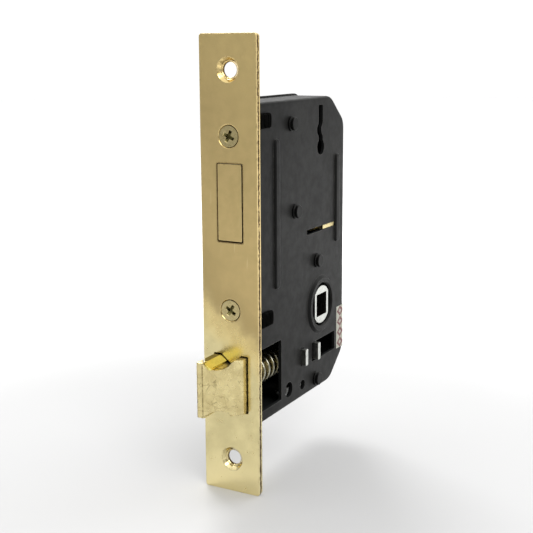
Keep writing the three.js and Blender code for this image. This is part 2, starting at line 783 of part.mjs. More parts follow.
lock.add(named("faceplate", faceplate(), satinBrass));
lock.add(named("forend", forend(), satinBrass));
["faceplate_screw_upper", "faceplate_screw_lower"].forEach((name, i) => {
  lock.add(named(name, plateScrew(PLATE_SCREW.zs[i], RECESS.turns[i]), satinBrass));
});
lock.add(named("case_shell", caseShell(), blackPaint));
lock.add(named("back_plate", backPlate(), blackPaint));
for (const place of POSTS) lock.add(named(place.name, post(place), blackPaint));
lock.add(named("fixing_lug_upper", fixingLug(50.8, 14.6), blackPaint));
lock.add(named("fixing_lug_lower", fixingLug(-18.6, 15.4), blackPaint));
for (const place of BUSHES) lock.add(named(place.name, spacerBush(place), steel));
lock.add(named("latch_bracket", latchBracket(), zinc));
lock.add(named("blank_label", label(), paper));

lock.add(named("latch_bolt", latchBolt(), castBrass));
lock.add(named("latch_pin", latchPin(), springSteel));
lock.add(named("latch_stem", latchStem(), castBrass));
lock.add(named("latch_tail", latchTail(), zinc));
lock.add(named("latch_spring", latchSpring(), springSteel));
lock.add(named("anti_friction_tongue", antiFrictionTongue(), polishedBrass));
lock.add(named("tongue_spring", tongueSpring(), springSteel));

lock.add(named("deadbolt", deadbolt(), satinBrass));
lock.add(named("deadbolt_tail", deadboltTail(), castBrass));
lock.add(named("deadbolt_rivet", deadboltRivet(), steel));
lock.add(named("deadbolt_stump", deadboltStump(), steel));
for (let i = 0; i < LEVER.count; i++) {
  lock.add(named(`lever_${i + 1}`, lever(i), castBrass));
  lock.add(named(`lever_spring_${i + 1}`, leverSpring(i), springSteel));
}

lock.add(named("follower_hub", followerHub(), zinc));
lock.add(named("hub_spring", hubSpring(), springSteel));
lock.add(named("spring_anchor_pin", springAnchor(), steel));

export default lock;
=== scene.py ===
import json
import math

import bpy
from mathutils import Matrix, Vector


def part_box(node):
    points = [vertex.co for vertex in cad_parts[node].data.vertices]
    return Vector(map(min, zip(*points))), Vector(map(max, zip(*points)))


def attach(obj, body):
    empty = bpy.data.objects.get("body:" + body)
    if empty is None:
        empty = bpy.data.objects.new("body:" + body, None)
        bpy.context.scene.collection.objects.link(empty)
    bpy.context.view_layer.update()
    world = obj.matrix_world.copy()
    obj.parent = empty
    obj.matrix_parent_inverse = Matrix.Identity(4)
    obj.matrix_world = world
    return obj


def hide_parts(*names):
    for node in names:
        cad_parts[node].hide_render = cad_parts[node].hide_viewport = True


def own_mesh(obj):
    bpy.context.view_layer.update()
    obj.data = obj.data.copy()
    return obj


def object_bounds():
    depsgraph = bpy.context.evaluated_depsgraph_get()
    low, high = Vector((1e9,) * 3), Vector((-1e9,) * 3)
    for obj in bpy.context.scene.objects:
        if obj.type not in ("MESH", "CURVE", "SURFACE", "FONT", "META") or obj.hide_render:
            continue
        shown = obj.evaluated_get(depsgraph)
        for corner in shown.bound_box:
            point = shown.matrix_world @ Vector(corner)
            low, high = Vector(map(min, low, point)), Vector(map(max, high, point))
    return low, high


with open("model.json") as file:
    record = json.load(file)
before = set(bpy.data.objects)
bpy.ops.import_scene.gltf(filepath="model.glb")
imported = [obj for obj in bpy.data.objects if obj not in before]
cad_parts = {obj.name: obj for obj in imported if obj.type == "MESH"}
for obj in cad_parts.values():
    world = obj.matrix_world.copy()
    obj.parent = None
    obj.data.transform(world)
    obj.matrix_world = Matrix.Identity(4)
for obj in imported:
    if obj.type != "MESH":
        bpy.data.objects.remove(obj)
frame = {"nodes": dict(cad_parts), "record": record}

CAD_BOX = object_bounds()
MM = 0.001

# ---- places from the CAD, in millimetres -------------------------------------------------


def box_mm(name):
    """A CAD node's lowest and highest corners in millimetres."""
    low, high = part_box(name)
    return low / MM, high / MM


def middle(name):
    """A CAD node's middle in millimetres."""
    low, high = box_mm(name)
    return (low + high) / 2


# The case's outer side face.
CASE_SIDE = -box_mm("back_plate")[0].x
# The slanted corners' direction in the case's side view, and how far they cut into the full corner.
CORNER_Y, CORNER_Z, CORNER_CUT = 0.64, 0.768, 7.68
# The case's painted outside reaches this far into its sheet.
CASE_SKIN = 0.6
# The faceplate's half width, its seam with the forend, and its half height.
PLATE_HALF_X, SEAM_Y, PLATE_HALF_Z = box_mm("faceplate")[1]
# The square in the follower: its middle, and half its side.
SQUARE_Y, SQUARE_Z, SQUARE_HALF = 55.0, -23.0, 4.3
# Behind this Y a screw's cross recess is darkened by tarnish and painted shade.
RECESS_Y = box_mm("faceplate_screw_upper")[0].y + 0.12
# The edge between the latch bolt's nose and its bevel.
LATCH_RIDGE_X = box_mm("latch_bolt")[0].x + 2.3
# Below this X a bush is black: painted shade in its hole.
BUSH_DEEP_X = 5.2

# ---- camera and light --------------------------------------------------------------------

CAMERA = {"azimuth": 28.77, "elevation": 10.37, "roll": -0.33, "lens": 68.9, "shift_y": -0.059}
CAMERA_PLACE = Vector((175.3, -293.0, 74.9)) * MM

# The studio's light from everywhere.
WORLD_BASE = 0.46
# More light round a direction: where it starts and where it is full, as cosines, and its strength.
WORLD_LIGHTS = {
    "ceiling": {"direction": (0, 0, 1), "start": 0.3, "full": 0.6, "strength": 0.75},
    "backdrop": {"direction": (-0.474, 0.862, 0), "start": 0.6, "full": 0.85, "strength": 0.55},
    "all but the forend's side": {
        "direction": (0.5, 0.86, -0.1), "start": -0.9, "full": -0.3, "strength": 0.28,
    },
}
# The softboxes' directions in degrees, distances and sides in metres, and watts.
SOFTBOXES = {
    "key": {"azimuth": 52, "elevation": 42, "distance": 0.9, "side": 0.5, "power": 3.0},
    "back": {"azimuth": 150, "elevation": 50, "distance": 1.0, "side": 0.5, "power": 2.0},
    "left": {"azimuth": -135, "elevation": 50, "distance": 0.9, "side": 0.3, "power": 4.5},
}


def aim(azimuth, elevation):
    """The unit vector from a viewer at that azimuth and elevation towards the object."""
    a, e = math.radians(azimuth), math.radians(elevation)
    return Vector((-math.sin(a) * math.cos(e), math.cos(a) * math.cos(e), -math.sin(e)))


def make_camera():
    """The camera, at the photograph's viewing angle."""
    data = bpy.data.cameras.new("camera")
    data.lens = CAMERA["lens"]
    data.shift_y = CAMERA["shift_y"]
    data.clip_start = 0.01
    data.clip_end = 20
    camera = bpy.data.objects.new("camera", data)
    turn = aim(CAMERA["azimuth"], CAMERA["elevation"]).to_track_quat("-Z", "Y").to_matrix()
    roll = Matrix.Rotation(math.radians(CAMERA["roll"]), 3, "Z")
    camera.matrix_world = Matrix.Translation(CAMERA_PLACE) @ (turn @ roll).to_4x4()
    bpy.context.scene.collection.objects.link(camera)
    bpy.context.scene.camera = camera


def softbox(name, azimuth, elevation, distance, side, power):
    """A square area light that faces the object's middle from that direction."""
    data = bpy.data.lights.new(name, "AREA")
    data.shape = "SQUARE"
    data.size = side
    data.energy = power
    light = bpy.data.objects.new(name, data)
    towards = aim(azimuth, elevation)
    turn = towards.to_track_quat("-Z", "Y").to_matrix()
    light.matrix_world = Matrix.Translation(-towards * distance) @ turn.to_4x4()
    bpy.context.scene.collection.objects.link(light)


def make_world():
    """A grey studio with a bright ceiling, a white backdrop and a dim side that the forend faces."""
    world = bpy.data.worlds.new("studio")
    world.use_nodes = True
    tree = world.node_tree
    tree.nodes.clear()
    output = tree.nodes.new("ShaderNodeOutputWorld")
    coordinate = tree.nodes.new("ShaderNodeTexCoord")

    def lobe(direction, start, full, strength):
        """Light of that strength round a direction, from nothing at one cosine to full at another."""
        dot = tree.nodes.new("ShaderNodeVectorMath")
        dot.operation = "DOT_PRODUCT"
        dot.inputs[1].default_value = Vector(direction).normalized()
        fade = tree.nodes.new("ShaderNodeMapRange")
        fade.interpolation_type = "SMOOTHSTEP"
        fade.inputs["From Min"].default_value = start
        fade.inputs["From Max"].default_value = full
        scaled = tree.nodes.new("ShaderNodeMath")
        scaled.operation = "MULTIPLY"
        scaled.inputs[1].default_value = strength
        light = tree.nodes.new("ShaderNodeBackground")
        tree.links.new(coordinate.outputs["Generated"], dot.inputs[0])
        tree.links.new(dot.outputs["Value"], fade.inputs["Value"])
        tree.links.new(fade.outputs["Result"], scaled.inputs[0])
        tree.links.new(scaled.outputs["Value"], light.inputs["Strength"])
        return light.outputs["Background"]

    base = tree.nodes.new("ShaderNodeBackground")
    base.inputs["Strength"].default_value = WORLD_BASE
    total = base.outputs["Background"]
    for values in WORLD_LIGHTS.values():
        add = tree.nodes.new("ShaderNodeAddShader")
        tree.links.new(total, add.inputs[0])
        tree.links.new(lobe(**values), add.inputs[1])
        total = add.outputs["Shader"]
    tree.links.new(total, output.inputs["Surface"])
    bpy.context.scene.world = world


# ---- material graphs ---------------------------------------------------------------------


class Graph:
    """A material's node graph with one principled shader; its point is in millimetres."""

    def __init__(self, name):
        self.material = bpy.data.materials.new(name)
        self.material.use_nodes = True
        self.tree = self.material.node_tree
        self.tree.nodes.clear()
        self.shader = self.tree.nodes.new("ShaderNodeBsdfPrincipled")
        output = self.tree.nodes.new("ShaderNodeOutputMaterial")
        self.tree.links.new(self.shader.outputs["BSDF"], output.inputs["Surface"])
        coordinate = self.tree.nodes.new("ShaderNodeTexCoord")
        self.point = self.placed(coordinate.outputs["Object"], (1 / MM, 1 / MM, 1 / MM))

    def placed(self, vector, scale, turn=(0, 0, 0)):
        """The vector scaled along its axes and turned by those degrees."""
        node = self.tree.nodes.new("ShaderNodeMapping")
        node.inputs["Scale"].default_value = scale
        node.inputs["Rotation"].default_value = [math.radians(t) for t in turn]
        self.tree.links.new(vector, node.inputs["Vector"])
        return node.outputs["Vector"]

    def noise(self, scale, detail=3.0, roughness=0.55, stretch=(1, 1, 1), turn=(0, 0, 0)):
        """Noise of that scale per millimetre, from 0 to 1, drawn out where stretch is small."""
        node = self.tree.nodes.new("ShaderNodeTexNoise")
        node.inputs["Scale"].default_value = scale
        node.inputs["Detail"].default_value = detail
        node.inputs["Roughness"].default_value = roughness
        self.tree.links.new(self.placed(self.point, stretch, turn), node.inputs["Vector"])
        return node.outputs["Fac"]

    def cells(self, scale, feature="F1"):
        """The distance pattern of cells of that scale per millimetre."""
        node = self.tree.nodes.new("ShaderNodeTexVoronoi")
        node.feature = feature
        node.inputs["Scale"].default_value = scale
        self.tree.links.new(self.point, node.inputs["Vector"])
        return node.outputs["Distance"]

    def axis(self, letter):
        """The point's X, Y or Z in millimetres."""
        node = self.tree.nodes.new("ShaderNodeSeparateXYZ")
        self.tree.links.new(self.point, node.inputs["Vector"])
        return node.outputs[letter]

    def facing(self, letter):
        """The surface normal's X, Y or Z."""
        geometry = self.tree.nodes.new("ShaderNodeNewGeometry")
        node = self.tree.nodes.new("ShaderNodeSeparateXYZ")
        self.tree.links.new(geometry.outputs["Normal"], node.inputs["Vector"])
        return node.outputs[letter]

    def reach(self, value, low, high, to_low=0.0, to_high=1.0):
        """value mapped from low..high to to_low..to_high, and held at the ends."""
        node = self.tree.nodes.new("ShaderNodeMapRange")
        node.interpolation_type = "SMOOTHSTEP"
        node.inputs["From Min"].default_value = low
        node.inputs["From Max"].default_value = high
        node.inputs["To Min"].default_value = to_low
        node.inputs["To Max"].default_value = to_high
        self.tree.links.new(value, node.inputs["Value"])
        return node.outputs["Result"]

    def band(self, value, low, low_full, high_full, high):
        """1 from low_full to high_full, and fading to 0 at low and high."""
        return self.product(self.reach(value, low, low_full), self.reach(value, high, high_full))

    def math(self, operation, a, b=0.0):
        """One arithmetic step on numbers or sockets."""
        node = self.tree.nodes.new("ShaderNodeMath")
        node.operation = operation
        for socket, value in zip(node.inputs, (a, b)):
            if isinstance(value, (int, float)):
                socket.default_value = value
            else:
                self.tree.links.new(value, socket)
        return node.outputs["Value"]

    def product(self, *factors):
        """All the factors multiplied."""
        total = factors[0]
        for factor in factors[1:]:
            total = self.math("MULTIPLY", total, factor)
        return total

    def size(self, value):
        """The value without its sign."""
        return self.math("ABSOLUTE", value)

    def off(self, letter, place):
        """How far the point is from that X, Y or Z in millimetres."""
        return self.size(self.math("SUBTRACT", self.axis(letter), place))

    def mix(self, factor, a, b):
        """Colour a where factor is 0 and colour b where it is 1."""
        node = self.tree.nodes.new("ShaderNodeMix")
        node.data_type = "RGBA"
        self.tree.links.new(factor, node.inputs["Factor"])
        for socket, value in zip((node.inputs[6], node.inputs[7]), (a, b)):
            if isinstance(value, tuple):
                socket.default_value = (*value, 1)
            else:
                self.tree.links.new(value, socket)
        return node.outputs[2]

    def tint(self, colour, mask, tone, strength):
        """The colour, turned towards a tone by that strength where the mask is 1."""
        return self.mix(self.product(mask, strength), colour, tone)

    def near_box(self, name, margin):
        """1 inside a CAD node's box grown by that margin in X and Z, in millimetres, and 0 outside."""
        low, high = box_mm(name)
        blur = 0.1
        masks = []
        for letter, start, end in (("X", low.x, high.x), ("Z", low.z, high.z)):
            limit = (end - start) / 2 + margin
            masks.append(self.reach(self.off(letter, (start + end) / 2), limit + blur, limit - blur))
        return self.product(*masks)

    def bevelled_normal(self, radius, samples):
        """The normal, turned over the edges as by a rounding of that radius in millimetres."""
        bevel = self.tree.nodes.new("ShaderNodeBevel")
        bevel.samples = samples
        bevel.inputs["Radius"].default_value = radius * MM
        return bevel.outputs["Normal"]

    def edges(self, radius, full=0.9):
        """1 on edges that a rounding of that radius would turn to that cosine, and 0 on flats."""
        geometry = self.tree.nodes.new("ShaderNodeNewGeometry")
        dot = self.tree.nodes.new("ShaderNodeVectorMath")
        dot.operation = "DOT_PRODUCT"
        self.tree.links.new(self.bevelled_normal(radius, 4), dot.inputs[0])
        self.tree.links.new(geometry.outputs["Normal"], dot.inputs[1])
        return self.reach(dot.outputs["Value"], 0.995, full)

    def soften(self, radius):
        """Lets light turn over the edges as a rounding of that radius in millimetres would."""
        self.tree.links.new(self.bevelled_normal(radius, 6), self.shader.inputs["Normal"])

    def bump(self, height, depth, strength):
        """Adds relief of depth in millimetres to whatever the shader's normal is so far."""
        node = self.tree.nodes.new("ShaderNodeBump")
        node.inputs["Distance"].default_value = depth * MM
        node.inputs["Strength"].default_value = strength
        self.tree.links.new(height, node.inputs["Height"])
        normal = self.shader.inputs["Normal"]
        if normal.is_linked:
            self.tree.links.new(normal.links[0].from_socket, node.inputs["Normal"])
        self.tree.links.new(node.outputs["Normal"], normal)

    def set(self, name, value):
        """Sets the shader's input to a number, a colour or a socket."""
        socket = self.shader.inputs[name]
        if isinstance(value, (int, float)):
            socket.default_value = value
        elif isinstance(value, tuple):
            socket.default_value = (*value, 1)
        else:
            self.tree.links.new(value, socket)


# ---- materials ---------------------------------------------------------------------------

SATIN = {
    "clean": ((0.68, 0.52, 0.23), (0.74, 0.565, 0.255)),
    # Painted reflection: lighter brass at the top and darker in the middle.
    "lit_clean_top": (0.88, 0.68, 0.30),
    "shaded_clean_middle": (0.60, 0.455, 0.205),
    # Painted reflection: paler brass below, mottled with stains.
    "stained_sheen": ((0.68, 0.59, 0.31), (0.82, 0.71, 0.38)),
    # Painted light at the foot.
    "foot": (0.97, 0.84, 0.46),
    # A painted band of light and a painted band of shade across the plate.
    "light_band": (0.92, 0.70, 0.27),
    "shade_band": (0.38, 0.29, 0.13),
    "stain": (0.50, 0.38, 0.15),
    "spot": (0.36, 0.26, 0.10),
    "scratch": (0.95, 0.84, 0.50),
    # Painted highlight on the edges.
    "edge": (0.95, 0.82, 0.45),
    "nick": (0.24, 0.16, 0.06),
    # Grime and painted shade in the seam, and painted shade on the openings' walls and round the
    # deadbolt.
    "grime_and_shade": (0.06, 0.024, 0.008),
    # Mottled tarnish and painted shade in the countersinks.
    "tarnish_and_shade": (0.26, 0.17, 0.05),
    # Painted shade on a bolt's sides, the dark gap round it when it is flush.
    "bolt_side_shade": (0.035, 0.014, 0.006),
}


def satin_brass(name, plate=False):
    """Rolled satin brass, clean above and stained below, with a painted reflection that changes with
    height:
    lighter at the top, darker in the middle, paler below and bright at the foot; with painted bands of
    light and shade, painted highlights on its edges, and fine grain, stains, spots, scratches and dark
    nicks.

    A plate has a dark line of grime and painted shade in its seam, painted shade on the walls of its
    openings and round the deadbolt, and polished countersinks with mottled tarnish and painted shade.
    A bolt has painted shade on its sides just behind its face, the dark gap round it when it is flush.
    """
    g = Graph(name)
    grain = g.noise(3.0, 3, 0.6, stretch=(1, 1, 0.12))
    # The height along which the painted reflection changes, slanted across X and clouded by noise.
    slant = g.product(g.axis("X"), 0.9)
    cloud = g.product(g.noise(0.07, 4, 0.6), 24)
    height = g.math("ADD", g.axis("Z"), g.math("ADD", slant, cloud))

    clean = g.mix(g.reach(g.noise(0.25, 4), 0.3, 0.7), *SATIN["clean"])
    # Painted reflection: lighter at the top and darker in the middle.
    clean = g.mix(g.reach(height, 50, 96), clean, SATIN["lit_clean_top"])
    clean = g.mix(g.reach(height, 34, -6), clean, SATIN["shaded_clean_middle"])
    # Painted reflection: paler below, where the brass is also stained.
    stained_sheen = g.mix(g.reach(g.noise(0.12, 5, 0.6), 0.35, 0.7), *SATIN["stained_sheen"])
    paler = g.reach(height, 2, -16)
    colour = g.mix(paler, clean, stained_sheen)
    # Painted light: brighter at the foot.
    colour = g.tint(colour, g.reach(g.axis("Z"), -62, -76), SATIN["foot"], 0.8)
    # A painted band of light, and below it a painted band of shade, across the middle.
    colour = g.tint(colour, g.band(height, -20, -11, -9, -2), SATIN["light_band"], 0.35)
    colour = g.tint(colour, g.band(height, -8, -1, 0, 12), SATIN["shade_band"], 0.3)

    stains = g.product(g.reach(g.noise(0.3, 6, 0.7), 0.56, 0.72), paler)
    colour = g.tint(colour, stains, SATIN["stain"], 0.3)
    colour = g.tint(colour, g.reach(g.noise(0.9, 5, 0.7), 0.70, 0.78), SATIN["spot"], 0.35)
    scratch = g.reach(g.noise(0.8, 2, 0.5, stretch=(1, 1, 0.06), turn=(0, 5, 0)), 0.72, 0.76)
    colour = g.tint(colour, scratch, SATIN["scratch"], 0.3)
    # Painted highlight on the edges, as a rounded rim catches light.
    colour = g.tint(colour, g.edges(0.45), SATIN["edge"], 0.5)
    nicks = g.product(g.edges(0.9, 0.97), g.reach(g.noise(0.7, 5, 0.7), 0.54, 0.64))
    colour = g.tint(colour, nicks, SATIN["nick"], 0.7)

    uneven = g.reach(g.noise(0.3, 5, 0.6), 0.3, 0.7, 0.30, 0.38)
    rough = g.math("ADD", g.reach(paler, 0, 1, 0.0, -0.10), uneven)
    if plate:
        # Grime and painted shade in the seam; painted shade on the openings' walls and round the
        # deadbolt.
        grime_and_shade = plate_shade_and_grime(g)
        colour = g.mix(grime_and_shade, colour, SATIN["grime_and_shade"])
        # The countersinks: polished, with mottled tarnish and painted shade.
        countersink = g.band(g.facing("Y"), -0.9, -0.8, -0.6, -0.5)
        tarnish_and_shade = g.product(countersink, g.reach(g.noise(0.5, 5, 0.7), 0.45, 0.6))
        colour = g.tint(colour, tarnish_and_shade, SATIN["tarnish_and_shade"], 0.7)
        rough = g.math("SUBTRACT", rough, g.product(countersink, 0.16))
        rough = g.math("ADD", rough, g.product(grime_and_shade, 0.35))
    else:
        # Painted shade on the bolt's sides just behind its face.
        sides = g.reach(g.size(g.facing("Y")), 0.5, 0.3)
        behind_face = g.band(g.axis("Y"), 0.1, 0.3, 1.2, 2.4)
        colour = g.mix(g.product(sides, behind_face), colour, SATIN["bolt_side_shade"])
    g.set("Base Color", colour)
    g.set("Metallic", 1.0)
    g.set("Roughness", rough)
    g.soften(0.4)
    g.bump(grain, 0.003, 0.35)
    g.bump(g.noise(0.12, 2), 0.06, 0.25)
    g.bump(scratch, -0.015, 0.5)
    return g.material


def plate_shade_and_grime(g):
    """1 in the ragged seam line (grime and painted shade), on the openings' walls and round the
    deadbolt (painted shade), and 0 elsewhere.
    """
    rim_depth, blur = 0.5, 0.1
    rims = []
    for letter, half in (("X", PLATE_HALF_X), ("Z", PLATE_HALF_Z)):
        edge = half - rim_depth
        rims.append(g.reach(g.size(g.axis(letter)), edge - blur, edge + blur))
    rim = g.math("MAXIMUM", *rims)
    # The seam line: grime and painted shade.
    raggedness = g.reach(g.noise(0.8, 5, 0.7), 0.35, 0.65, -0.3, 0.25)
    line = g.reach(g.math("ADD", g.off("Y", SEAM_Y), raggedness), 0.62, 0.44)
    line = g.product(line, rim, g.reach(g.noise(0.8, 4), 0.25, 0.5, 0.8, 1.0))
    # Painted shade on the openings' walls.
    walls = g.reach(g.size(g.facing("Y")), 0.4, 0.25)
    walls = g.product(walls, g.math("SUBTRACT", 1.0, rim), 0.9)
    # Painted shade in the gap round the deadbolt.
    round_bolt = g.product(g.edges(0.85, 0.975), g.near_box("deadbolt", 0.9))
    return g.math("MAXIMUM", line, g.math("MAXIMUM", walls, round_bolt))


CAST = {
    "metal": ((0.66, 0.55, 0.27), (0.82, 0.70, 0.36)),
    "vein": (0.20, 0.16, 0.07),
    "pit": (0.20, 0.16, 0.06),
    "ripple": (0.34, 0.26, 0.11),
    "edge": (0.92, 0.83, 0.50),
    "dirty_edge": (0.20, 0.14, 0.05),
    "ridge": (0.22, 0.16, 0.06),
}


def cast_brass(name, ridge=None):
    """Cast and tumbled brass with soft hollows, swirls, pits and dark grain.

    A ridge is the X of an edge along Z that has gathered grime on the part before the faceplate.
    """
    g = Graph(name)
    swirl = g.noise(0.22, 5, 0.6)
    colour = g.mix(g.reach(swirl, 0.35, 0.65), *CAST["metal"])
    veins = g.reach(g.cells(0.33, "DISTANCE_TO_EDGE"), 0.05, 0.0)
    veins = g.product(veins, g.reach(g.noise(0.35, 4), 0.5, 0.64))
    colour = g.tint(colour, veins, CAST["vein"], 0.6)
    colour = g.tint(colour, g.reach(g.noise(1.7, 4, 0.7), 0.64, 0.74), CAST["pit"], 0.6)
    flow = g.math("ADD", g.product(g.cells(0.09), 1.5), g.product(g.noise(0.15, 3), 1.3))
    ripple = g.reach(g.math("PINGPONG", flow, 0.5), 0.05, 0.0)
    colour = g.tint(colour, ripple, CAST["ripple"], 0.35)
    colour = g.tint(colour, g.edges(0.4), CAST["edge"], 0.5)
    dirty = g.product(g.edges(0.8), g.reach(g.noise(0.6, 5, 0.7), 0.48, 0.62))
    colour = g.tint(colour, dirty, CAST["dirty_edge"], 0.7)
    if ridge is not None:
        line = g.product(g.reach(g.off("X", ridge), 0.3, 0.12), g.reach(g.axis("Y"), -9, -10))
        broken = g.reach(g.noise(0.5, 4), 0.4, 0.55, 0.3, 0.8)
        colour = g.tint(colour, line, CAST["ridge"], broken)
    g.set("Base Color", colour)
    g.set("Metallic", 1.0)
    g.set("Roughness", g.reach(g.noise(0.8, 4), 0.3, 0.7, 0.24, 0.42))
    g.bump(swirl, 0.28, 0.7)
    g.bump(g.reach(g.cells(0.16), 0.2, 0.9), 0.25, 0.6)
    g.bump(ripple, 0.05, 0.6)
    g.bump(g.noise(1.4, 4, 0.6), 0.03, 0.5)
    return g.material


POLISHED = {
    "metal": ((0.74, 0.58, 0.10), (0.92, 0.77, 0.20)),
    "olive": (0.36, 0.29, 0.04),
    # Painted shade on the top faces and a painted highlight on the side faces.
    "top": (0.44, 0.32, 0.04),
    "side": (1.0, 0.92, 0.34),
    "edge": (0.98, 0.88, 0.42),
}


def polished_brass():
    """Bright polished brass with fine polishing lines, painted shade on top and a painted highlight at
    the side.
    """
    g = Graph("polished_brass")
    smear = g.noise(0.6, 4)
    colour = g.mix(g.reach(smear, 0.35, 0.7), *POLISHED["metal"])
    olive = g.reach(g.noise(0.35, 3, 0.5, stretch=(1, 0.5, 1)), 0.5, 0.62)
    colour = g.tint(colour, olive, POLISHED["olive"], 0.3)
    # Painted shade on faces that look up, and a painted highlight on faces that look to the side.
    colour = g.tint(colour, g.reach(g.facing("Z"), 0.86, 0.97), POLISHED["top"], 0.6)
    colour = g.tint(colour, g.reach(g.facing("X"), 0.35, 0.6), POLISHED["side"], 0.6)
    colour = g.tint(colour, g.edges(0.3), POLISHED["edge"], 0.5)
    g.set("Base Color", colour)
    g.set("Metallic", 1.0)
    g.set("Roughness", g.reach(smear, 0.3, 0.7, 0.05, 0.14))
    g.bump(g.noise(5, 3, 0.6, stretch=(1, 0.06, 1)), 0.003, 0.4)
    g.bump(g.noise(0.35, 2), 0.05, 0.3)
    return g.material


PAINT = {
    "dark": (0.011, 0.011, 0.01034),
    "light": (0.018, 0.018, 0.01692),
    "rub": (0.07, 0.07, 0.066),
    "speck": (0.12, 0.12, 0.11),
    "worn": (0.13, 0.13, 0.12),
    # Painted shade near the faceplate.
    "shade_near_plate": (0.003, 0.003, 0.0028),
    # Painted shade inside the case and on its openings' walls.
    "inside_shade": (0.008, 0.009, 0.009),
    # Painted shade on surfaces that look towards the forend.
    "front_shade": (0.001, 0.001, 0.001),
}


def inside_case(g):
    """1 on the case's inner surfaces and the walls of its openings, and 0 on its outside."""
    low, high = box_mm("case_shell")
    lean = g.product(g.axis("Y"), CORNER_Y)
    rise = g.product(g.axis("Z"), CORNER_Z)
    limits = [
        (g.axis("Y"), high.y),
        (g.axis("Z"), high.z),
        (g.math("SUBTRACT", 0.0, g.axis("Z")), -low.z),
        (g.math("ADD", lean, rise), CORNER_Y * high.y + CORNER_Z * high.z - CORNER_CUT),
        (g.math("SUBTRACT", lean, rise), CORNER_Y * high.y - CORNER_Z * low.z - CORNER_CUT),
    ]
    blur = 0.2
    within = g.reach(g.axis("X"), CASE_SIDE, CASE_SIDE - blur)
    for value, limit in limits:
        edge = limit - CASE_SKIN
        within = g.product(within, g.reach(value, edge + blur, edge - blur))
    inner = g.reach(g.size(g.axis("X")), CASE_SIDE - CASE_SKIN, CASE_SIDE - CASE_SKIN - 0.3)
    cut = g.reach(g.size(g.facing("X")), 0.5, 0.3)
    return g.product(within, g.math("MAXIMUM", inner, cut))


def black_paint(name, tone=1.0, shine=0.12, front_shade_strength=0.0):
    """Satin black enamel on pressed steel, with orange peel, faint rubs and lighter edges, and painted
    shade near the faceplate, inside the case and on the walls of its openings.

    The tone scales the paint's lightness. A front shade strength, from 0 to 1, is how far the surfaces
    that look towards the forend get painted shade, black, and are rough.
    """
    g = Graph(name)
    dark, light, rub, speck, worn = (
        tuple(tone * c for c in PAINT[key]) for key in ("dark", "light", "rub", "speck", "worn")
    )
    colour = g.mix(g.reach(g.noise(0.05, 4, 0.6), 0.35, 0.7), dark, light)
    # Painted shade towards the faceplate, which shades the case.
    colour = g.tint(colour, g.reach(g.axis("Y"), 40, 4), PAINT["shade_near_plate"], 0.8)
    rubs = g.reach(g.noise(0.45, 5, 0.7, stretch=(1, 1, 0.25)), 0.62, 0.8)
    colour = g.tint(colour, rubs, rub, 0.22)
    colour = g.tint(colour, g.reach(g.noise(3.0, 2, 0.5), 0.74, 0.8), speck, 0.2)
    wear = g.reach(g.noise(0.5, 4), 0.3, 0.65, 0.1, 0.55)
    colour = g.tint(colour, g.edges(0.5), worn, wear)
    # Painted shade: the case's inside and its openings' walls are darker, and they are rougher.
    rough_parts = inside_case(g)
    colour = g.mix(rough_parts, colour, PAINT["inside_shade"])
    # Painted shade, black, on surfaces that look towards the forend, which are also rougher.
    if front_shade_strength:
        front_shade = g.reach(g.facing("Y"), -0.15, -0.6, 0.0, front_shade_strength)
        colour = g.mix(front_shade, colour, PAINT["front_shade"])
        rough_parts = g.math("MAXIMUM", rough_parts, front_shade)
    g.set("Base Color", colour)
    g.set("Specular IOR Level", shine)
    sheen = g.reach(g.noise(0.25, 5, 0.65), 0.3, 0.7, 0.40, 0.52)
    g.set("Roughness", g.math("ADD", sheen, g.product(rough_parts, 0.4)))
    g.bump(g.noise(2.4, 2), 0.012, 0.35)
    g.bump(g.noise(0.08, 2), 0.2, 0.2)
    return g.material


# Painted shade on plated parts, and tarnish in screw recesses.
STEEL_SHADE_AND_TARNISH = {
    # Painted shade in the follower's square bore.
    "bore": (0.035, 0.02, 0.012),
    # Painted shade on surfaces that look towards the forend.
    "front": (0.10, 0.10, 0.09),
    # Painted shade, black, in a bush's hole.
    "hole_shade": (0.015, 0.015, 0.015),
    # Tarnish and painted shade in a screw's cross recess.
    "recess": (0.09, 0.085, 0.025),
}


